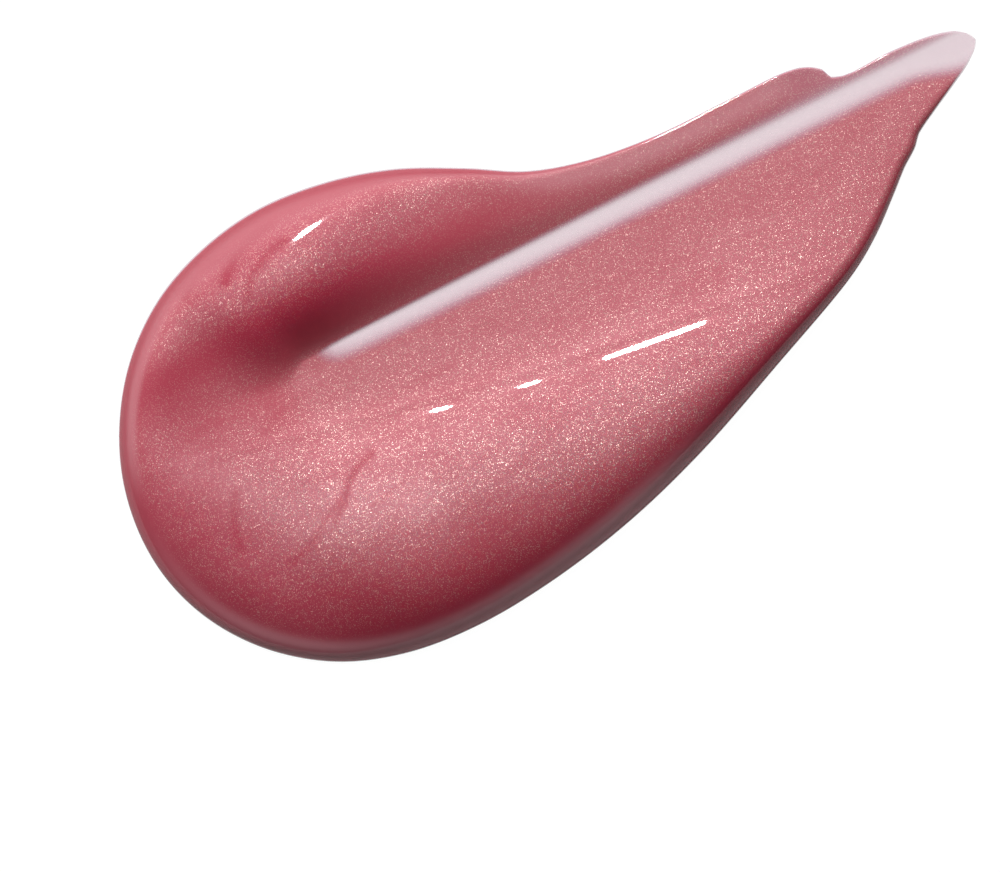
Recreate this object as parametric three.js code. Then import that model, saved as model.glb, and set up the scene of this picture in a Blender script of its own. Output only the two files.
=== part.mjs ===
// A smear of thick, shimmering lip gloss: a round pool that an applicator has been dragged out of, leaving
// a scraped track with a raised bank on both sides and a tail that thins out to a film.
// Millimetres, +Z up. The pool is at -X and the tip of the tail at +X. The underside is one flat face on
// Z = 0, and the origin lies on it, in the middle of the smear's length and width.
import * as THREE from 'three';

// Overall size
const LENGTH = 40.7;
const WIDTH = 19.8;
const HEIGHT = 2.05;

// Lower bank: its height if uncut, and how far in from the outline it gets there
const LOWER_HEIGHT = 3.8;
const LOWER_RIM_WIDTH = 9;
const LOWER_STEEPNESS = 1.7;
const LOWER_ROUNDNESS = 0.61;
const LOWER_TAPER = 2.8;

// How much wider the lower bank's rim is round the far end of the pool
const POOL_RIM_EXTRA = 4.4;
const POOL_RIM_RANGE = [8, 16];

// Upper bank, which is lower and narrower
const UPPER_HEIGHT = 1.8;
const UPPER_RIM_WIDTH = 4.4;
const UPPER_STEEPNESS = 2;
const UPPER_ROUNDNESS = 0.8;
const UPPER_TAPER = 2.5;

// Where the lower bank turns into the upper one
const BANK_BLEND_Y = [-3, 8];
const BANK_BLEND_X = [-20, -12];

// Both banks at the tip of the tail, and where they start to taper to it
const TAIL_HEIGHT = 0.22;
const TAIL_RIM_WIDTH = 0.4;
const TAPER_START_X = -8;
const HEIGHT_TAPER = 1.35;

// Scraped line: a film at the foot of a steep wall, which turns a round corner where the drag began
const FILM = 0.03;
const FILM_WIDTH = 0.3;
const FILM_ROUNDING = 0.4;
const TIP_FILM_WIDTH = 0.9;
const TIP_FILM_RANGE = [18.5, 21.5];
const TRACK_Y = 4.02;
const TRACK_START_X = -10;
const CORNER_RADIUS = 0.9;

// The wall above the line: its slope, the width it takes, and how softly it starts and levels off
const WALL_SLOPE = 1;
const WALL_WIDTH = 2.8;
const WALL_ROUNDING = 1.2;
const WALL_FOOT = 0.4;
const WALL_SLOPE_TAPER = 5;
const WALL_WIDTH_TAPER = 3;
const TAIL_WALL_SLOPE = 0.35;
const TAIL_WALL_WIDTH = 0.5;
const TAIL_WALL_ROUNDING = 0.4;

// How the wall dies away: past the corner, into the pool, and below the track
const TURN_LOSS = 0.75;
const TURN_RANGE = [0.25, 0.9];
const POOL_LOSS = 0.8;
const POOL_RANGE = [-13.5, -8.5];
const BELOW_RANGE = [-2.5, 1.5];

// Floor of the track, which climbs gently to the lower bank; its width grows towards the tail
const FLOOR_SLOPE = 0.15;
const FLOOR_WIDTH = 4.73;
const FLOOR_WIDENING = 0.11;
const FLOOR_NARROWING = 0.09;
const FLOOR_NARROWING_X = -1;
const FLOOR_NARROWING_ROUNDING = 2;

// Inner side of the lower bank
const SIDE_SLOPE = 0.31;
const SIDE_RISE = 5;
const SIDE_ROUNDING = 0.6;

// The slope from the track up into the pool, where the floor is less steep
const FILM_END_X = -8.2;
const FILM_END_SLOPE = 0.12;
const FILM_END_ROUNDING = 0.5;
const POOL_FLOOR_LOSS = 0.5;
const POOL_FLOOR_RANGE = [10, 15];

// Fineness of the mesh: a line of points follows the foot of the wall, with these numbers of steps beside it
const STEPS_ALONG = 90;
const STEPS_BELOW = 22;
const STEPS_ABOVE = 14;
const FOOT_SHARE_RANGE = [0.4, 0.9];

// The outline before it is fitted to LENGTH and WIDTH, counter-clockwise from the far end of the pool
const POOL_END = [-18.72, 0.35];
const LOWER_SIDE = [
  [-18.45, -1.95], [-17.55, -4.15], [-15.95, -6.2], [-13.6, -7.9], [-10.8, -8.85], [-7.6, -9.13], [-4, -8.83],
  [0, -8.02], [4, -6.74], [8.5, -4.86], [13, -2.86], [14.6, -1.82], [16.1, -0.55], [17, 0.25], [17.7, 0.75],
  [18.1, 1.2], [19, 1.72], [20.4, 2.46], [21.3, 2.98],
];
const TIP = [22, 3.72];
const UPPER_SIDE = [
  [21.5, 4.35], [20.5, 4.68], [18.5, 4.85], [16.5, 4.8], [15.85, 5], [15.65, 5.45], [15.05, 5.85], [14.2, 6.03],
  [11.5, 6.03], [8, 6.04], [5, 6.4], [2.6, 7.1], [0.4, 8.32], [-2.4, 9.65], [-5.2, 10.4], [-8.2, 10.64],
  [-11, 10.18], [-13.6, 9.1], [-15.8, 7.35], [-17.35, 5.25], [-18.35, 2.9],
];

const SAMPLES_PER_STRETCH = 12;

const { clamp, smoothstep } = THREE.MathUtils;

// The smooth closed outline as two lists of points, both from the pool's end to the tip
function outlineHalves() {
  const knots = [POOL_END, ...LOWER_SIDE, TIP, ...UPPER_SIDE];
  const points = knots.map(([x, y]) => new THREE.Vector3(x, y, 0));
  const curve = new THREE.CatmullRomCurve3(points, true, 'centripetal');
  const samples = [];
  for (let i = 0; i <= knots.length * SAMPLES_PER_STRETCH; i += 1) {
    samples.push(curve.getPoint(i / (knots.length * SAMPLES_PER_STRETCH)));
  }
  const tipIndex = (LOWER_SIDE.length + 1) * SAMPLES_PER_STRETCH;
  return [samples.slice(0, tipIndex + 1), samples.slice(tipIndex).reverse()];
}

// Points at equal steps of length along a line of points
function evenly(line, steps) {
  const reach = [0];
  for (let i = 1; i < line.length; i += 1) {
    reach.push(reach[i - 1] + line[i].distanceTo(line[i - 1]));
  }
  const result = [line[0].clone()];
  let k = 1;
  for (let i = 1; i < steps; i += 1) {
    const target = (reach[line.length - 1] * i) / steps;
    while (reach[k] < target) {
      k += 1;
    }
    const part = (target - reach[k - 1]) / (reach[k] - reach[k - 1]);
    result.push(line[k - 1].clone().lerp(line[k], part));
  }
  result.push(line[line.length - 1].clone());
  return result;
}

// Shortest distance from a point to the outline
function rimDistance(x, y, ring) {
  let best = Infinity;
  for (let i = 0; i < ring.length; i += 1) {
    const a = ring[i];
    const b = ring[(i + 1) % ring.length];
    const dx = b.x - a.x;
    const dy = b.y - a.y;
    const along = ((x - a.x) * dx + (y - a.y) * dy) / (dx * dx + dy * dy);
    const t = clamp(along, 0, 1);
    best = Math.min(best, Math.hypot(x - a.x - t * dx, y - a.y - t * dy));
  }
  return best;
}

// A ramp that is flat below 0 and rises at slope 1 above it, rounded over the given width
function ramp(value, width) {
  return 0.5 * (value + Math.hypot(value, width));
}

// The smaller of two heights, with the change from one to the other rounded off
function softerOf(a, b) {
  return (a * b) / (a ** 4 + b ** 4) ** 0.25;
}

// A value that falls from the pool's to the tail's as x runs to the tip
function taper(x, atPool, atTail, power) {
  const along = clamp((x - TAPER_START_X) / (TIP[0] - TAPER_START_X), 0, 1);
  return atTail + (atPool - atTail) * (1 - along) ** power;
}

// Share of a bank's height at a distance in from the outline: rises there and levels off at its width
function profile(distance, width, steepness, roundness) {
  const left = 1 - Math.min(distance / width, 1);
  return (1 - left ** steepness) ** roundness;
}

// Both banks, and the change from one to the other
function bankHeight(x, y, distance) {
  const poolExtra = POOL_RIM_EXTRA * smoothstep(-x, ...POOL_RIM_RANGE);
  const lowerWidth = taper(x, LOWER_RIM_WIDTH, TAIL_RIM_WIDTH, LOWER_TAPER) + poolExtra;
  const upperWidth = taper(x, UPPER_RIM_WIDTH, TAIL_RIM_WIDTH, UPPER_TAPER);
  const lowerShare = profile(distance, lowerWidth, LOWER_STEEPNESS, LOWER_ROUNDNESS);
  const upperShare = profile(distance, upperWidth, UPPER_STEEPNESS, UPPER_ROUNDNESS);
  const lower = taper(x, LOWER_HEIGHT, TAIL_HEIGHT, HEIGHT_TAPER) * lowerShare;
  const upper = taper(x, UPPER_HEIGHT, TAIL_HEIGHT, HEIGHT_TAPER) * upperShare;
  return lower + (upper - lower) * smoothstep(y, ...BANK_BLEND_Y) * smoothstep(x, ...BANK_BLEND_X);
}

// The steep wall above the scraped line, round the corner where the drag began
function wallHeight(x, y) {
  const above = Math.max(y - TRACK_Y + CORNER_RADIUS, 0);
  const behind = Math.max(TRACK_START_X - x + CORNER_RADIUS, 0);
  const out = Math.max(Math.hypot(above, behind) - CORNER_RADIUS, 0);
  const turned = Math.atan2(behind, Math.max(above, 1e-6)) / (Math.PI / 2);
  const turnLeft = 1 - TURN_LOSS * smoothstep(turned, ...TURN_RANGE);
  const poolLeft = 1 - POOL_LOSS * (1 - smoothstep(x, ...POOL_RANGE));
  const strength = turnLeft * poolLeft * smoothstep(y, ...BELOW_RANGE);
  const slope = taper(x, WALL_SLOPE, TAIL_WALL_SLOPE, WALL_SLOPE_TAPER);
  const width = taper(x, WALL_WIDTH, TAIL_WALL_WIDTH, WALL_WIDTH_TAPER);
  const rounding = taper(x, WALL_ROUNDING, TAIL_WALL_ROUNDING, WALL_WIDTH_TAPER);
  const levelling = ramp(out - width, rounding) - ramp(-width, rounding);
  return strength * slope * ((out * out) / (out + WALL_FOOT) - levelling);
}

// The floor below the line and the inner side of the lower bank
function floorHeight(x, y) {
  const below = TRACK_Y - y;
  const filmWidth = FILM_WIDTH + (TIP_FILM_WIDTH - FILM_WIDTH) * smoothstep(x, ...TIP_FILM_RANGE);
  const narrowing = FLOOR_NARROWING * ramp(FLOOR_NARROWING_X - x, FLOOR_NARROWING_ROUNDING);
  const width = FLOOR_WIDTH + FLOOR_WIDENING * x - narrowing;
  const floor = FLOOR_SLOPE * ramp(Math.min(below, width) - filmWidth, FILM_ROUNDING);
  const beyond = ramp(below - width, SIDE_ROUNDING);
  return floor + SIDE_RISE * (1 - Math.exp((-beyond * SIDE_SLOPE) / SIDE_RISE));
}

// What the drag left: the film, its wall and floor, and the slope up into the pool
function trackHeight(x, y) {
  const filmEnd = FILM_END_SLOPE * ramp(FILM_END_X - x, FILM_END_ROUNDING);
  const floorLeft = 1 - POOL_FLOOR_LOSS * smoothstep(-x, ...POOL_FLOOR_RANGE);
  return FILM + filmEnd + wallHeight(x, y) + floorHeight(x, y) * floorLeft;
}

// Shares of a stretch at which its points lie: closer together near both of its ends
function sharesOf(steps) {
  const shares = [];
  for (let i = 0; i < steps; i += 1) {
    const even = i / steps;
    shares.push(0.5 * even + 0.25 * (1 - Math.cos(Math.PI * even)));
  }
  return shares;
}

// Points of one row across the smear, from its lower side to its upper one
function rowSpots(from, to) {
  const foot = clamp((TRACK_Y - from.y) / Math.max(to.y - from.y, 0.01), ...FOOT_SHARE_RANGE);
  const lower = sharesOf(STEPS_BELOW).map((share) => foot * share);
  const upper = sharesOf(STEPS_ABOVE).map((share) => foot + (1 - foot) * share);
  return [...lower, ...upper, 1].map((share) => from.clone().lerp(to, share));
}

function smearMesh() {
  const [lowerLine, upperLine] = outlineHalves();
  const ring = [...lowerLine.slice(0, -1), ...upperLine.slice(1).reverse()];
  const lower = evenly(lowerLine, STEPS_ALONG);
  const upper = evenly(upperLine, STEPS_ALONG);
  const points = [];
  const add = (x, y, z) => points.push(new THREE.Vector3(x, y, z)) - 1;

  // rows[i][j] is a vertex number; row 0 is the pool's end, the last row is the tip
  const rows = [];
  const stepsAcross = STEPS_BELOW + STEPS_ABOVE;
  for (let i = 0; i <= STEPS_ALONG; i += 1) {
    if (i === 0 || i === STEPS_ALONG) {
      const end = add(lower[i].x, lower[i].y, 0);
      rows.push(new Array(stepsAcross + 1).fill(end));
      continue;
    }
    const spots = rowSpots(lower[i], upper[i]);
    rows.push(spots.map(({ x, y }, j) => {
      if (j === 0 || j === stepsAcross) {
        return add(x, y, 0);
      }
      const bank = bankHeight(x, y, rimDistance(x, y, ring));
      return add(x, y, softerOf(bank, trackHeight(x, y)));
    }));
  }

  // Fit to the overall size, with the origin in the middle of the underside
  const box = new THREE.Box3().setFromPoints(points);
  const middle = box.getCenter(new THREE.Vector3());
  const size = box.getSize(new THREE.Vector3());
  for (const point of points) {
    point.x = ((point.x - middle.x) * LENGTH) / size.x;
    point.y = ((point.y - middle.y) * WIDTH) / size.y;
    point.z = (point.z * HEIGHT) / size.z;
  }

  const faces = [];
  const face = (a, b, c) => {
    if (a !== b && b !== c && c !== a) {
      faces.push(a, b, c);
    }
  };
  for (let i = 0; i < STEPS_ALONG; i += 1) {
    for (let j = 0; j < stepsAcross; j += 1) {
      face(rows[i][j], rows[i + 1][j], rows[i + 1][j + 1]);
      face(rows[i][j], rows[i + 1][j + 1], rows[i][j + 1]);
    }
    face(rows[i][0], rows[i + 1][stepsAcross], rows[i + 1][0]);
    face(rows[i][0], rows[i][stepsAcross], rows[i + 1][stepsAcross]);
  }

  const geometry = new THREE.BufferGeometry().setFromPoints(points);
  geometry.setIndex(faces);
  geometry.computeVertexNormals();
  const material = new THREE.MeshStandardMaterial({ color: 0xb9626c, roughness: 0.1, metalness: 0 });
  const mesh = new THREE.Mesh(geometry, material);
  mesh.name = 'gloss_smear';
  return mesh;
}

const smear = new THREE.Group();
smear.name = 'lip_gloss_smear';
smear.add(smearMesh());
export default smear;
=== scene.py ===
"""The looks of a smear of thick, shimmering lip gloss, seen from straight above on a white sheet."""
import math

import bpy
import numpy as np
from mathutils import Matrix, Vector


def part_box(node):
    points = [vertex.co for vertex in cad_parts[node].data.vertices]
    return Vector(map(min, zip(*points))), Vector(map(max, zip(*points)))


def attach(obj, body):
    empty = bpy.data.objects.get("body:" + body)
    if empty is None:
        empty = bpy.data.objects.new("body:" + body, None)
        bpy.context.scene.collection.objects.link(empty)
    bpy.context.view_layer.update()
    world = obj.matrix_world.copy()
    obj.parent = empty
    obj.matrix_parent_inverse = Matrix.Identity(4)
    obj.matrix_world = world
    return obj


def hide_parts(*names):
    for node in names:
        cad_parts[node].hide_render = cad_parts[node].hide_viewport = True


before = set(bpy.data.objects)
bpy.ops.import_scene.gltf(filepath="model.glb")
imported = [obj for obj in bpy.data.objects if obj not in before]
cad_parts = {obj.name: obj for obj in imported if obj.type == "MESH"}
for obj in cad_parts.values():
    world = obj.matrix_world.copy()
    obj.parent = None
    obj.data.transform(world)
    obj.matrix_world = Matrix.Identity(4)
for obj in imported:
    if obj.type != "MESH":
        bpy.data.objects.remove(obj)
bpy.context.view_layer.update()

NODE = "gloss_smear"
MM = 0.001

# Sizes and places are in millimetres, in the frame of the outline's points further down, up to the
# camera's. A pair says where something comes in: none of it at the first value, all at the second.

# Lower bank: its height if uncut, and how far in from the outline it gets there
LOWER_HEIGHT = 3.8
LOWER_RIM_WIDTH = 9.0
LOWER_STEEPNESS = 1.7
LOWER_ROUNDNESS = 0.61
LOWER_TAPER = 2.8

# How much wider the lower bank's rim is round the far end of the pool
POOL_RIM_EXTRA = 4.4
POOL_RIM_X = (-8, -16)

# Upper bank, which is lower and narrower
UPPER_HEIGHT = 1.8
UPPER_RIM_WIDTH = 4.4
UPPER_STEEPNESS = 2.0
UPPER_ROUNDNESS = 0.8
UPPER_TAPER = 2.5

# Where the lower bank turns into the upper one
BANK_BLEND_Y = (-3, 8)
BANK_BLEND_X = (-20, -12)

# Both banks at the tip of the tail, and where they start to taper to it
TAIL_HEIGHT = 0.22
TAIL_RIM_WIDTH = 0.4
TAPER_START_X = -8.0
HEIGHT_TAPER = 1.35

# Scraped line: a film at the foot of the steep wall, which turns a round corner where the drag began
FILM = 0.03
FILM_WIDTH = 0.3
FILM_ROUNDING = 0.4
TIP_FILM_WIDTH = 0.9
TIP_FILM_X = (18.5, 21.5)
TRACK_Y = 4.02
TRACK_START_X = -10.0
CORNER_RADIUS = 0.9

# The wall above the line: its slope, the width it takes, and how softly it starts and levels off
WALL_SLOPE = 1.0
WALL_WIDTH = 2.8
WALL_ROUNDING = 1.2
WALL_FOOT = 0.4
WALL_SLOPE_TAPER = 5
WALL_WIDTH_TAPER = 3
TAIL_WALL_SLOPE = 0.35
TAIL_WALL_WIDTH = 0.5
TAIL_WALL_ROUNDING = 0.4

# How much of the wall is lost round the corner, by share of its turn, and into the pool; and where
# what is left of it comes in above the lower bank
TURN_LOSS = 0.75
TURN_SHARE = (0.25, 0.9)
POOL_LOSS = 0.8
POOL_X = (-8.5, -13.5)
WALL_Y = (-2.5, 1.5)

# Floor of the track, which climbs gently to the lower bank: its width at x = 0, what it gains for each
# millimetre towards the tail, and what it loses besides on the pool's side of FLOOR_NARROWING_X
FLOOR_SLOPE = 0.15
FLOOR_WIDTH = 4.73
FLOOR_WIDENING = 0.11
FLOOR_NARROWING = 0.09
FLOOR_NARROWING_X = -1
FLOOR_NARROWING_ROUNDING = 2.0

# Inner side of the lower bank
SIDE_SLOPE = 0.31
SIDE_RISE = 5.0
SIDE_ROUNDING = 0.6

# Crease between the floor and that side, in dashes that join into one long dash towards the tail
CREASE_SLOPE = 0.17
CREASE_WIDTH = 0.12
CREASE_OFFSET = 0.5
CREASE_X = (-7.5, -6.5)
CREASE_END_X = (7.6, 6.4)
DASH_PITCH = 3.85
DASH_START_X = -1.35
LONG_DASH_X = (1.5, 3.5)
LONG_DASH_GROWTH = 0.1
LONG_DASH_GROWTH_X = 1
LONG_DASH_GROWTH_ROUNDING = 0.5

# The slope from the track up into the pool, where the floor is less steep
FILM_END_X = -8.2
FILM_END_SLOPE = 0.12
FILM_END_ROUNDING = 0.5
POOL_FLOOR_LOSS = 0.5
POOL_FLOOR_X = (-10, -15)

# How sharply the surface changes from bank to track: both heights are taken to this power
CHANGE_POWER = 4

# The outline before it is fitted to the CAD solid, counter-clockwise from the far end of the pool
POOL_END = (-18.72, 0.35)
LOWER_SIDE = [
    (-18.45, -1.95), (-17.55, -4.15), (-15.95, -6.2), (-13.6, -7.9), (-10.8, -8.85), (-7.6, -9.13),
    (-4, -8.83), (0, -8.02), (4, -6.74), (8.5, -4.86), (13, -2.86), (14.6, -1.82), (16.1, -0.55),
    (17, 0.25), (17.7, 0.75), (18.1, 1.2), (19, 1.72), (20.4, 2.46), (21.3, 2.98),
]
TIP = (22, 3.72)
UPPER_SIDE = [
    (21.5, 4.35), (20.5, 4.68), (18.5, 4.85), (16.5, 4.8), (15.85, 5), (15.65, 5.45), (15.05, 5.85),
    (14.2, 6.03), (11.5, 6.03), (8, 6.04), (5, 6.4), (2.6, 7.1), (0.4, 8.32), (-2.4, 9.65), (-5.2, 10.4),
    (-8.2, 10.64), (-11, 10.18), (-13.6, 9.1), (-15.8, 7.35), (-17.35, 5.25), (-18.35, 2.9),
]
SAMPLES_PER_STRETCH = 12

# Painted shade on the pool's rim, which turns from the lamp: the share of the pearl taken away there, and
# its distance from the outline
RIM_PAINTED_SHADE = 0.42
RIM_SHADE_DISTANCE = (6, 3)
RIM_SHADE_X = (3, -8)
RIM_SHADE_Y = (7, 1)

# Painted shade on the wall, which turns from the lamp: the share of the pearl taken away there, and how
# far above the scraped line that is
WALL_PAINTED_SHADE = 0.8
WALL_SHADE_RISE = 1.9
WALL_SHADE_WIDTH = 1.2
WALL_SHADE_X = (8, -2)

# Painted shade on the upper bank's crest, where it faces the lamp: the share of the pearl taken away there
CREST_PAINTED_SHADE = 0.35
CREST_SHADE_Y = (7.5, 9)
CREST_SHADE_X = (0, -4)

# Lines with less pearl, which show redder: thin streaks first, then two wide lines of painted shade in the
# head of the pool, by the wall's turn; points, half width and how much pearl is taken away
STREAKS_AND_PAINTED_SHADE = [
    ([(-8.4, -0.7), (-9.2, -0.9), (-9.8, -1.3), (-10.3, -2), (-11.1, -2.6)], 0.15, 0.5),
    ([(-10.2, -1.7), (-11.3, -2.3), (-12.4, -3), (-13.5, -3.3)], 0.16, 0.4),
    ([(-7.7, -2.3), (-8.6, -2.5), (-9.4, -2.7)], 0.12, 0.3),
    ([(-14.3, 0.3), (-14.8, -0.5), (-15, -1.1), (-15.1, -1.9)], 0.2, 0.45),
    ([(-8.1, 9.8), (-9.2, 9.6), (-9.9, 9.3), (-10.6, 8.7), (-10.8, 8.4)], 0.25, 0.6),
    ([(-7.8, 8.9), (-8.7, 8.7), (-9.7, 8.2), (-10.2, 7.5)], 0.2, 0.4),
    ([(-10.2, 9.5), (-11.1, 9.4), (-11.8, 9.2), (-12.6, 8.7)], 0.2, 0.6),
    # Painted shade in the head of the pool, by the wall's turn
    ([(-10.8, 5), (-11.1, 3.8), (-11.2, 3.2)], 0.9, 0.4),
    ([(-14.8, 4), (-13.2, 3.4), (-12, 2.6)], 1.5, 0.3),
]

# Painted reflection of the white sheet, a light band inside the lower side's outline: strength, distance
# from the outline and half width
LOWER_PAINTED_REFLECTION = 1.3
LOWER_REFLECTION_DISTANCE = 0.6
LOWER_REFLECTION_WIDTH = 0.3
LOWER_REFLECTION_X = (6, 0)
LOWER_REFLECTION_Y = (2, -8)

# Painted highlight, a light band inside the outline of the tail's upper bank where it faces the lamp:
# strength, distance from the outline and half width
UPPER_PAINTED_HIGHLIGHT = 0.8
UPPER_HIGHLIGHT_DISTANCE = 0.5
UPPER_HIGHLIGHT_WIDTH = 0.5
UPPER_HIGHLIGHT_X = (0, 4)
UPPER_HIGHLIGHT_END_X = (15, 13)
UPPER_HIGHLIGHT_Y = (4.6, 5.2)

# Painted light: a faint, wide, lighter band round the far end of the pool
POOL_PAINTED_LIGHT = 0.08
POOL_LIGHT_DISTANCE = (2.4, 0)
POOL_LIGHT_X = (2, -3)
POOL_LIGHT_Y = (-4, 0)

# Painted sheen along a line in the pool, where the slope turns towards the lamp: points, half width and
# share
SHEEN_LINE = [(-7.5, -3.2), (-10, -2.2), (-11.7, -2), (-13.7, 0), (-15.3, 2)]
SHEEN_WIDTH = 1.1
SHEEN_SHARE = 0.38

# Mesh steps along the smear, and across it below and above the scraped line
STEPS_ALONG = 380
STEPS_BELOW = 144
STEPS_ABOVE = 96
STEPS_ACROSS = STEPS_BELOW + STEPS_ABOVE

# Least and greatest share of a row's width at which its points meet the scraped line
LINE_SHARE_LIMITS = (0.4, 0.9)

# The underside takes every fourth point of the top, each way
UNDERSIDE_SKIP = 4

# Camera, in metres but for the sensor: straight down, rolled so that the tail points up to the right
CAMERA_HEIGHT = 0.35
VIEW_WIDTH = 0.042
VIEW_ROLL = math.radians(-26.2)
VIEW_CENTRE = (-0.00493, -0.00316)
SENSOR_WIDTH = 36
NEAREST = 0.01
FARTHEST = 10


# ---------------------------------------------------------------- shape
def spline(knots):
    """Points along the closed centripetal Catmull-Rom curve through the knots."""
    knots = np.array(knots, float)
    count = len(knots)
    share = np.arange(SAMPLES_PER_STRETCH) / SAMPLES_PER_STRETCH
    stretches = []
    for i in range(count):
        p = [knots[(i + k - 1) % count] for k in range(4)]
        t = [0.0]
        for k in range(3):
            t.append(t[k] + math.sqrt(math.dist(p[k], p[k + 1])))
        s = (t[1] + (t[2] - t[1]) * share)[:, None]
        a = [((t[k + 1] - s) * p[k] + (s - t[k]) * p[k + 1]) / (t[k + 1] - t[k]) for k in range(3)]
        b = [((t[k + 2] - s) * a[k] + (s - t[k]) * a[k + 1]) / (t[k + 2] - t[k]) for k in range(2)]
        stretches.append(((t[2] - s) * b[0] + (s - t[1]) * b[1]) / (t[2] - t[1]))
    return np.vstack(stretches)


def evenly(line, steps):
    """Points at equal steps of length along a line of points."""
    reach = np.concatenate([[0], np.cumsum(np.hypot(*np.diff(line, axis=0).T))])
    marks = np.linspace(0, reach[-1], steps + 1)
    return np.stack([np.interp(marks, reach, line[:, 0]), np.interp(marks, reach, line[:, 1])], 1)


def line_distance(spots, line):
    """Shortest distance from each spot to a line of points."""
    best = np.full(len(spots), np.inf)
    for a, b in zip(line[:-1], line[1:]):
        edge = b - a
        along = np.clip((spots - a) @ edge / (edge @ edge), 0, 1)
        gap = spots - a - along[:, None] * edge
        best = np.minimum(best, np.hypot(gap[:, 0], gap[:, 1]))
    return best


def smoothstep(value, low, high):
    """0 up to low, 1 from high on, and smooth between them; falls instead if low is above high."""
    t = np.clip((value - low) / (high - low), 0, 1)
    return t * t * (3 - 2 * t)


def ramp(value, width):
    """Flat below 0 and rising at slope 1 above it, rounded over the given width."""
    return 0.5 * (value + np.hypot(value, width))


def softer_of(a, b):
    """The smaller of two heights, with the change from one to the other rounded off."""
    return a * b / np.maximum(a ** CHANGE_POWER + b ** CHANGE_POWER, 1e-12) ** (1 / CHANGE_POWER)


def taper(x, at_pool, at_tail, power):
    """Falls from the pool's value to the tail's as x runs to the tip."""
    along = np.clip((x - TAPER_START_X) / (TIP[0] - TAPER_START_X), 0, 1)
    return at_tail + (at_pool - at_tail) * (1 - along) ** power


def bank_profile(distance, width, steepness, roundness):
    """Share of a bank's height: rises from the outline and levels off at the rim's width."""
    left = 1 - np.minimum(distance / width, 1)
    return (1 - left ** steepness) ** roundness


def bank_height(x, y, distance):
    """Both banks, and the change from one to the other."""
    lower_width = taper(x, LOWER_RIM_WIDTH, TAIL_RIM_WIDTH, LOWER_TAPER)
    lower_width += POOL_RIM_EXTRA * smoothstep(x, *POOL_RIM_X)
    upper_width = taper(x, UPPER_RIM_WIDTH, TAIL_RIM_WIDTH, UPPER_TAPER)
    lower = bank_profile(distance, lower_width, LOWER_STEEPNESS, LOWER_ROUNDNESS)
    upper = bank_profile(distance, upper_width, UPPER_STEEPNESS, UPPER_ROUNDNESS)
    lower *= taper(x, LOWER_HEIGHT, TAIL_HEIGHT, HEIGHT_TAPER)
    upper *= taper(x, UPPER_HEIGHT, TAIL_HEIGHT, HEIGHT_TAPER)
    return lower + (upper - lower) * smoothstep(y, *BANK_BLEND_Y) * smoothstep(x, *BANK_BLEND_X)


def wall_height(x, y):
    """The steep wall above the scraped line, round the corner where the drag began."""
    above = np.maximum(y - TRACK_Y + CORNER_RADIUS, 0)
    behind = np.maximum(TRACK_START_X - x + CORNER_RADIUS, 0)
    out = np.maximum(np.hypot(above, behind) - CORNER_RADIUS, 0)
    turned = np.arctan2(behind, np.maximum(above, 1e-6)) / (math.pi / 2)
    left = 1 - TURN_LOSS * smoothstep(turned, *TURN_SHARE)
    left *= 1 - POOL_LOSS * smoothstep(x, *POOL_X)
    left *= smoothstep(y, *WALL_Y)
    slope = taper(x, WALL_SLOPE, TAIL_WALL_SLOPE, WALL_SLOPE_TAPER)
    width = taper(x, WALL_WIDTH, TAIL_WALL_WIDTH, WALL_WIDTH_TAPER)
    rounding = taper(x, WALL_ROUNDING, TAIL_WALL_ROUNDING, WALL_WIDTH_TAPER)
    levelling = ramp(out - width, rounding) - ramp(-width, rounding)
    return left * slope * (out * out / (out + WALL_FOOT) - levelling)


def crease_height(x, beyond_floor):
    """Small step at the edge of the floor, in dashes; beyond_floor is the distance past that edge."""
    turn = 2 * math.pi * (x - DASH_START_X) / DASH_PITCH
    dashes = 0.5 + 0.5 * np.cos(turn) + smoothstep(x, *LONG_DASH_X)
    dashes = np.clip(dashes, 0, 1) * smoothstep(x, *CREASE_X) * smoothstep(x, *CREASE_END_X)
    dashes *= 1 + LONG_DASH_GROWTH * ramp(x - LONG_DASH_GROWTH_X, LONG_DASH_GROWTH_ROUNDING)
    step = 1 + np.tanh((beyond_floor - CREASE_OFFSET) / CREASE_WIDTH)
    return CREASE_SLOPE * CREASE_WIDTH * dashes * step


def floor_height(x, y):
    """The floor below the line, the crease at its edge, and the inner side of the lower bank."""
    below = TRACK_Y - y
    film_width = FILM_WIDTH + (TIP_FILM_WIDTH - FILM_WIDTH) * smoothstep(x, *TIP_FILM_X)
    narrowing = FLOOR_NARROWING * ramp(FLOOR_NARROWING_X - x, FLOOR_NARROWING_ROUNDING)
    width = FLOOR_WIDTH + FLOOR_WIDENING * x - narrowing
    floor = FLOOR_SLOPE * ramp(np.minimum(below, width) - film_width, FILM_ROUNDING)
    beyond = ramp(below - width, SIDE_ROUNDING)
    side = SIDE_RISE * (1 - np.exp(-beyond * SIDE_SLOPE / SIDE_RISE))
    return floor + side + crease_height(x, below - width)


def track_height(x, y):
    """What the drag left: the film, its wall and floor, and the slope up into the pool."""
    film_end = FILM_END_SLOPE * ramp(FILM_END_X - x, FILM_END_ROUNDING)
    floor_left = 1 - POOL_FLOOR_LOSS * smoothstep(x, *POOL_FLOOR_X)
    return FILM + film_end + wall_height(x, y) + floor_height(x, y) * floor_left


def shares_of(steps):
    """Shares of a stretch at which its points lie: closer together near both of its ends."""
    even = np.linspace(0, 1, steps + 1)[None]
    return 0.5 * even + 0.25 * (1 - np.cos(math.pi * even))


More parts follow.
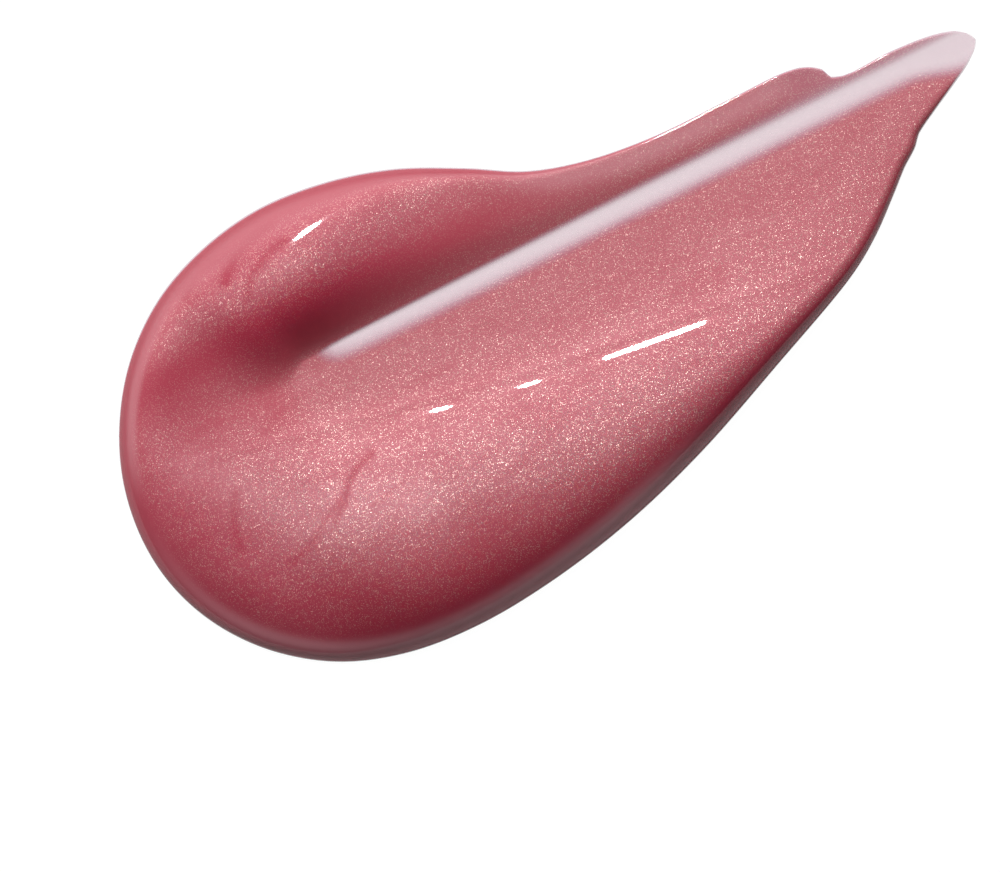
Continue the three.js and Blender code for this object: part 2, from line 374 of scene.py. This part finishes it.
def shares_across(lower, upper):
    """Where the points of each row lie between the two sides; one is on the scraped line or near it."""
    span = np.maximum(upper[:, 1] - lower[:, 1], 0.01)
    line = np.clip((TRACK_Y - lower[:, 1]) / span, *LINE_SHARE_LIMITS)[:, None]
    first = shares_of(STEPS_BELOW)[:, :-1]
    second = shares_of(STEPS_ABOVE)
    return np.hstack([line * first, line + (1 - line) * second])


def hump(distance, half_width):
    """1 at no distance, falling away smoothly on both sides."""
    return np.exp(-(distance / half_width) ** 2)


def pearl_left_after_painted_shade(spots, distance):
    """How much of the pearl is left: less as painted shade on the pool's rim, on the wall and on the upper
    crest, and less along streaks and two wide lines of painted shade.
    """
    x, y = spots.T
    rim_shade = smoothstep(distance, *RIM_SHADE_DISTANCE)
    rim_shade *= smoothstep(x, *RIM_SHADE_X) * smoothstep(y, *RIM_SHADE_Y)
    wall_shade = hump(y - TRACK_Y - WALL_SHADE_RISE, WALL_SHADE_WIDTH) * smoothstep(x, *WALL_SHADE_X)
    crest_shade = smoothstep(y, *CREST_SHADE_Y) * smoothstep(x, *CREST_SHADE_X)
    left = 1 - RIM_PAINTED_SHADE * rim_shade
    left *= 1 - WALL_PAINTED_SHADE * wall_shade
    left *= 1 - CREST_PAINTED_SHADE * crest_shade
    for points, half_width, loss in STREAKS_AND_PAINTED_SHADE:
        left *= 1 - loss * hump(line_distance(spots, np.array(points)), half_width)
    return left


def painted_lightness(spots, distance):
    """How much lighter the gloss is painted: a painted reflection and a painted highlight in bands inside
    the outline, faint painted light round the pool's far end, and a painted sheen along a line in the
    pool.
    """
    x, y = spots.T
    lower = LOWER_PAINTED_REFLECTION * hump(distance - LOWER_REFLECTION_DISTANCE, LOWER_REFLECTION_WIDTH)
    lower *= smoothstep(x, *LOWER_REFLECTION_X) * smoothstep(y, *LOWER_REFLECTION_Y)
    upper = UPPER_PAINTED_HIGHLIGHT * hump(distance - UPPER_HIGHLIGHT_DISTANCE, UPPER_HIGHLIGHT_WIDTH)
    upper *= smoothstep(x, *UPPER_HIGHLIGHT_X) * smoothstep(x, *UPPER_HIGHLIGHT_END_X) * smoothstep(y, *UPPER_HIGHLIGHT_Y)
    pool = POOL_PAINTED_LIGHT * smoothstep(distance, *POOL_LIGHT_DISTANCE)
    pool *= smoothstep(x, *POOL_LIGHT_X) * smoothstep(y, *POOL_LIGHT_Y)
    painted_sheen = SHEEN_SHARE * hump(line_distance(spots, np.array(SHEEN_LINE)), SHEEN_WIDTH)
    return lower + upper + pool + painted_sheen


def smear_surface():
    """Grid of points over the smear before it is fitted, with each point's pearl, which carries painted
    shade, and its painted light.
    """
    ring = spline([POOL_END, *LOWER_SIDE, TIP, *UPPER_SIDE])
    tip = (len(LOWER_SIDE) + 1) * SAMPLES_PER_STRETCH
    lower = evenly(ring[: tip + 1], STEPS_ALONG)
    upper = evenly(np.vstack([ring[tip:], ring[:1]])[::-1], STEPS_ALONG)
    share = shares_across(lower, upper)[..., None]
    spots = (lower[:, None] * (1 - share) + upper[:, None] * share).reshape(-1, 2)
    x, y = spots.T
    distance = line_distance(spots, np.vstack([ring, ring[:1]]))
    height = softer_of(bank_height(x, y, distance), track_height(x, y))
    surface = np.column_stack([spots, height]).reshape(STEPS_ALONG + 1, STEPS_ACROSS + 1, 3)
    surface[0, :, 2] = surface[-1, :, 2] = surface[:, 0, 2] = surface[:, -1, 2] = 0
    return surface, pearl_left_after_painted_shade(spots, distance), painted_lightness(spots, distance)


def grid_faces(numbers):
    """Quads over a grid of vertex numbers."""
    a, b, c, d = numbers[:-1, :-1], numbers[1:, :-1], numbers[1:, 1:], numbers[:-1, 1:]
    return np.stack([a, b, c, d], -1).reshape(-1, 4)


def build_smear():
    """The closed mesh, fitted to the CAD solid's box, with what the material reads at each point."""
    surface, pearl, light = smear_surface()
    low, high = (np.array(corner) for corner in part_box(NODE))
    flat = surface.reshape(-1, 3)
    raw_low, raw_high = flat.min(0), flat.max(0)
    flat[:] = low + (flat - raw_low) * (high - low) / (raw_high - raw_low)

    under = surface[::UNDERSIDE_SKIP, ::UNDERSIDE_SKIP].copy()
    thickness = np.concatenate([surface[..., 2].ravel(), under[..., 2].ravel()])
    under[..., 2] = low[2]
    points = np.vstack([surface.reshape(-1, 3), under.reshape(-1, 3)])
    top = np.arange(surface[..., 0].size).reshape(surface.shape[:2])
    bottom = top.size + np.arange(under[..., 0].size).reshape(under.shape[:2])
    faces = np.vstack([grid_faces(top), grid_faces(bottom)[:, ::-1]])

    mesh = bpy.data.meshes.new("gloss_smear_surface")
    mesh.from_pydata(points.tolist(), [], faces.tolist())
    bare = np.zeros(under[..., 0].size)
    # The pearl share carries painted shade, and the painted lightness carries painted light
    attributes = {
        "thickness": thickness,
        "pearl": np.concatenate([pearl, bare]),
        "painted_lightness": np.concatenate([light, bare]),
    }
    for name, values in attributes.items():
        mesh.attributes.new(name, "FLOAT", "POINT").data.foreach_set("value", values)
    mesh.polygons.foreach_set("use_smooth", [True] * len(mesh.polygons))
    mesh.validate()
    smear = bpy.data.objects.new("gloss_smear_surface", mesh)
    bpy.context.collection.objects.link(smear)
    return smear


# ---------------------------------------------------------------- material
# Thicknesses are in metres from here on, as Blender's are.

# Colours of the gloss: deep, shallow, in the thinnest film, and the tint of its painted light, the painted
# reflections, highlight and sheen
BODY = (0.55, 0.036, 0.084, 1)
SHALLOW = (0.65, 0.1, 0.14, 1)
FILM_TINT = (0.62, 0.12, 0.3, 1)
PAINTED_LIGHT_TINT = (0.92, 0.34, 0.4, 1)
PAINTED_LIGHT_SHARE = 0.75

# Thickness over which the film turns into shallow gloss, and the shallow into deep
SHALLOW_THICKNESS = (0.05 * MM, 0.15 * MM)
DEEP_THICKNESS = (0.1 * MM, 1.6 * MM)

# How opaque the gloss is in the film and where it is shallow, and the thickness over which it closes
FILM_ALPHA = 0.24
SHALLOW_ALPHA = 0.88
CLOSING_THICKNESS = (0.15 * MM, 0.7 * MM)

# Pearl: the colour it reflects, how level the surface is where it shows, so that it fades on steep slopes
# as painted shade, and its share in thin gloss
PEARL = (1.0, 0.79, 0.82, 1)
PEARL_IOR = 2.45
PEARL_ROUGHNESS = 0.64
PEARL_LEVEL = (0.78, 0.98)
PEARL_THICKNESS = (0.1 * MM, 1.0 * MM)
THIN_PEARL = 0.75

# Swirl in the pearl: a stretched noise, and how much pearl its low and high places have
SWIRL_SCALE = (220, 700, 1)
SWIRL_DETAIL = 2.0
SWIRL_DISTORTION = 1.2
SWIRL_LEVEL = (0.3, 0.7)
SWIRL_PEARL = (0.85, 1.1)

# Flakes in the pearl, which tilt at random; a few of them are sparks
FLAKE_SIZE = 0.026 * MM
FLAKE_TILT = 0.08
SPARK = (1.0, 0.7, 0.6, 1)
SPARK_CHANCE = (0.82, 0.98)
SPARK_TILT = 0.6
SPARK_METAL = 0.65
SPARK_ROUGHNESS = 0.47

# Light that scatters inside thick gloss
SCATTER_THICKNESS = (0.8 * MM, 2.0 * MM)
SCATTER_RADIUS = (1.9, 0.4, 0.4)
SCATTER_SCALE = 1.0 * MM

# The clear, wet surface
COAT_IOR = 1.5
COAT_ROUGHNESS = 0.04


class Nodes:
    """Shorthand for building a node tree."""

    def __init__(self, owner):
        owner.use_nodes = True
        self.tree = owner.node_tree
        self.tree.nodes.clear()

    def add(self, kind, inputs=None, **settings):
        node = self.tree.nodes.new(kind)
        for name, value in settings.items():
            setattr(node, name, value)
        for name, value in (inputs or {}).items():
            if isinstance(value, bpy.types.NodeSocket):
                self.tree.links.new(value, node.inputs[name])
            else:
                node.inputs[name].default_value = value
        return node

    def attribute(self, name):
        return self.add("ShaderNodeAttribute", attribute_name=name).outputs["Fac"]

    def math(self, operation, *values, clamp=False):
        node = self.add("ShaderNodeMath", dict(enumerate(values)), operation=operation, use_clamp=clamp)
        return node.outputs[0]

    def vector(self, operation, inputs):
        return self.add("ShaderNodeVectorMath", inputs, operation=operation).outputs[0]

    def remap(self, value, low, high, to_low=0.0, to_high=1.0):
        """Smooth change from to_low to to_high as the value goes from low to high."""
        inputs = {"Value": value, "From Min": low, "From Max": high, "To Min": to_low, "To Max": to_high}
        return self.add("ShaderNodeMapRange", inputs, interpolation_type="SMOOTHSTEP").outputs[0]

    def blend(self, share, first, second):
        """The first colour where the share is 0, and the second where it is 1."""
        node = self.add("ShaderNodeMix", data_type="RGBA")
        for socket, value in zip((node.inputs[0], node.inputs[6], node.inputs[7]), (share, first, second)):
            if isinstance(value, bpy.types.NodeSocket):
                self.tree.links.new(value, socket)
            else:
                socket.default_value = value
        return node.outputs[2]

    def finish(self, kind, surface):
        output = self.add(kind)
        self.tree.links.new(surface, output.inputs["Surface"])


def pearl_shown(n, thickness, place, smooth):
    """How much pearl shows at a place: most where the surface is level and the gloss is thick; its fading
    on steep slopes is painted shade.
    """
    level = n.add("ShaderNodeSeparateXYZ", {0: smooth}).outputs[2]
    stretched = n.add("ShaderNodeMapping", {"Vector": place, "Scale": SWIRL_SCALE}).outputs[0]
    noise = {"Vector": stretched, "Scale": 1.0, "Detail": SWIRL_DETAIL, "Distortion": SWIRL_DISTORTION}
    swirl = n.add("ShaderNodeTexNoise", noise).outputs["Fac"]
    # Painted shade: the pearl fades where the surface is steep
    shown = n.remap(level, *PEARL_LEVEL)
    shown = n.math("MULTIPLY", shown, n.remap(thickness, *PEARL_THICKNESS, THIN_PEARL, 1.0))
    # The pearl attribute carries the painted shade on the pool's rim, the wall and the upper crest
    shown = n.math("MULTIPLY", shown, n.attribute("pearl"))
    return n.math("MULTIPLY", shown, n.remap(swirl, *SWIRL_LEVEL, *SWIRL_PEARL))


def tilted_normal(n, smooth, random_colour, spark):
    """The surface's normal, tilted at random in each flake, and more in a spark."""
    tilt = n.vector("SUBTRACT", {0: random_colour, 1: (0.5, 0.5, 0.5)})
    much = n.math("MULTIPLY_ADD", spark, SPARK_TILT, FLAKE_TILT)
    tilt = n.vector("SCALE", {0: tilt, "Scale": much})
    tilted = n.vector("ADD", {0: smooth, 1: tilt})
    return n.vector("NORMALIZE", {0: tilted})


def gloss_colour(n, thickness, spark):
    """Film, shallow and deep gloss by thickness, then the painted light, then the sparks."""
    gloss = n.blend(n.remap(thickness, *DEEP_THICKNESS), SHALLOW, BODY)
    gloss = n.blend(n.remap(thickness, *SHALLOW_THICKNESS), FILM_TINT, gloss)
    light = n.math("MULTIPLY", n.attribute("painted_lightness"), PAINTED_LIGHT_SHARE)
    return n.blend(spark, n.blend(light, gloss, PAINTED_LIGHT_TINT), SPARK)


def gloss_alpha(n, thickness):
    """How opaque the gloss is: the white sheet shows through where it is thin."""
    shallow = n.remap(thickness, *SHALLOW_THICKNESS, FILM_ALPHA, SHALLOW_ALPHA)
    return n.math("ADD", shallow, n.remap(thickness, *CLOSING_THICKNESS, 0.0, 1 - SHALLOW_ALPHA))


def gloss_material():
    """Rose gloss with a pearl of fine flakes in it, under a clear wet coat."""
    material = bpy.data.materials.new("shimmering_gloss")
    n = Nodes(material)
    thickness = n.attribute("thickness")
    place = n.add("ShaderNodeTexCoord").outputs["Object"]
    smooth = n.add("ShaderNodeNewGeometry").outputs["Normal"]

    flakes = n.add("ShaderNodeTexVoronoi", {"Vector": place, "Scale": 1 / FLAKE_SIZE})
    random_colour = flakes.outputs["Color"]
    chance = n.add("ShaderNodeSeparateColor", {"Color": random_colour}).outputs[2]
    shown = pearl_shown(n, thickness, place, smooth)
    spark = n.math("MULTIPLY", n.remap(chance, *SPARK_CHANCE), shown)

    shader = n.add(
        "ShaderNodeBsdfPrincipled",
        {
            "Base Color": gloss_colour(n, thickness, spark),
            "Metallic": n.math("MULTIPLY", spark, SPARK_METAL),
            "Roughness": n.remap(spark, 0.0, 1.0, PEARL_ROUGHNESS, SPARK_ROUGHNESS),
            "IOR": PEARL_IOR,
            "Specular Tint": n.blend(shown, (0, 0, 0, 1), PEARL),
            "Alpha": gloss_alpha(n, thickness),
            "Normal": tilted_normal(n, smooth, random_colour, spark),
            "Subsurface Weight": n.remap(thickness, *SCATTER_THICKNESS),
            "Subsurface Radius": SCATTER_RADIUS,
            "Subsurface Scale": SCATTER_SCALE,
            "Coat Weight": 1.0,
            "Coat Roughness": COAT_ROUGHNESS,
            "Coat IOR": COAT_IOR,
        },
        subsurface_method="RANDOM_WALK",
    )
    n.finish("ShaderNodeOutputMaterial", shader.outputs[0])
    return material


# ---------------------------------------------------------------- surroundings
# The sheet, in metres, its colour, and the glow that shows as white in the picture
SHEET_HALF = 0.6
SHEET_DROP = 0.00002
PAPER = (0.85, 0.85, 0.85, 1)
GLOW = 1.1

# Share of the glow in what the camera sees of the sheet, and in what the gloss reflects of it
SEEN_GLOW_SHARE = 0.9
REFLECTED_GLOW_SHARE = 0.15

# Lamp: its bearing from +X and its lean from straight up, in degrees; distance, size and power
KEY_BEARING = 83
KEY_LEAN = 40
KEY_DISTANCE = 0.4
KEY_SIZE = 0.034
KEY_POWER = 1.3

# Window that the gloss reflects, on the side of +Y: its strength, and how it fades towards the top, down
# to the horizon and round to the sides, by the Z and the Y of a direction
WINDOW = 2.6
WINDOW_TOP = (0.74, 0.42)
WINDOW_FOOT = (0.0, 0.25)
WINDOW_FOOT_SHARE = 0.4
WINDOW_SIDES = (0.1, 0.5)

# Weak light from all round
FILL = 0.02

WHITE = (1, 1, 1, 1)


def sheet_material():
    """White paper: shows as white, and dims a little where the smear shades it."""
    material = bpy.data.materials.new("white_sheet")
    n = Nodes(material)
    path = n.add("ShaderNodeLightPath")
    reflected = n.math("MAXIMUM", path.outputs["Is Glossy Ray"], path.outputs["Is Transmission Ray"])
    share = n.math("MULTIPLY", path.outputs["Is Camera Ray"], SEEN_GLOW_SHARE)
    share = n.math("MULTIPLY_ADD", reflected, REFLECTED_GLOW_SHARE, share, clamp=True)
    paper = n.add("ShaderNodeBsdfDiffuse", {"Color": PAPER})
    glow = n.add("ShaderNodeEmission", {"Color": WHITE, "Strength": GLOW})
    mixed = n.add("ShaderNodeMixShader", {0: share, 1: paper.outputs[0], 2: glow.outputs[0]})
    n.finish("ShaderNodeOutputMaterial", mixed.outputs[0])
    return material


def build_sheet():
    """The flat sheet that the smear lies on."""
    signs = [(-1, -1), (1, -1), (1, 1), (-1, 1)]
    corners = [(SHEET_HALF * x, SHEET_HALF * y, -SHEET_DROP) for x, y in signs]
    mesh = bpy.data.meshes.new("sheet")
    mesh.from_pydata(corners, [], [(0, 1, 2, 3)])
    sheet = bpy.data.objects.new("sheet", mesh)
    bpy.context.collection.objects.link(sheet)
    mesh.materials.append(sheet_material())


def build_key():
    """The lamp whose reflection makes the small, sharp highlights."""
    bearing = math.radians(KEY_BEARING)
    lean = math.radians(KEY_LEAN)
    flat = KEY_DISTANCE * math.sin(lean)
    data = bpy.data.lights.new("key", "AREA")
    data.shape = "DISK"
    data.size = KEY_SIZE
    data.energy = KEY_POWER
    lamp = bpy.data.objects.new("key", data)
    lamp.location = (flat * math.cos(bearing), flat * math.sin(bearing), KEY_DISTANCE * math.cos(lean))
    lamp.rotation_euler = (-lamp.location).to_track_quat("-Z", "Y").to_euler()
    bpy.context.collection.objects.link(lamp)


def build_world():
    """White to the camera; the gloss reflects a window in it, and the rest is nearly dark."""
    world = bpy.data.worlds.new("studio")
    bpy.context.scene.world = world
    n = Nodes(world)
    direction = n.add("ShaderNodeTexCoord").outputs["Generated"]
    direction = n.add("ShaderNodeSeparateXYZ", {0: direction})
    sideways, upwards = direction.outputs[1], direction.outputs[2]
    window = n.remap(upwards, *WINDOW_TOP, 0.0, WINDOW)
    window = n.math("MULTIPLY", window, n.remap(upwards, *WINDOW_FOOT, WINDOW_FOOT_SHARE, 1.0))
    window = n.math("MULTIPLY", window, n.remap(sideways, *WINDOW_SIDES))
    path = n.add("ShaderNodeLightPath")
    strength = n.math("MULTIPLY_ADD", window, path.outputs["Is Glossy Ray"], FILL)
    strength = n.math("MAXIMUM", strength, path.outputs["Is Camera Ray"])
    background = n.add("ShaderNodeBackground", {"Color": WHITE, "Strength": strength})
    n.finish("ShaderNodeOutputWorld", background.outputs[0])


def build_camera():
    """A long lens, straight above, as wide as the view at the sheet."""
    data = bpy.data.cameras.new("camera")
    data.sensor_width = SENSOR_WIDTH
    data.lens = SENSOR_WIDTH * CAMERA_HEIGHT / VIEW_WIDTH
    data.clip_start = NEAREST
    data.clip_end = FARTHEST
    camera = bpy.data.objects.new("camera", data)
    camera.location = (*VIEW_CENTRE, CAMERA_HEIGHT)
    camera.rotation_euler = (0, 0, VIEW_ROLL)
    bpy.context.collection.objects.link(camera)
    bpy.context.scene.camera = camera


smear = build_smear()
smear.data.materials.append(gloss_material())
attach(smear, "root")
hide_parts(NODE)
build_sheet()
build_key()
build_world()
build_camera()
bpy.context.scene.view_settings.view_transform = "Standard"
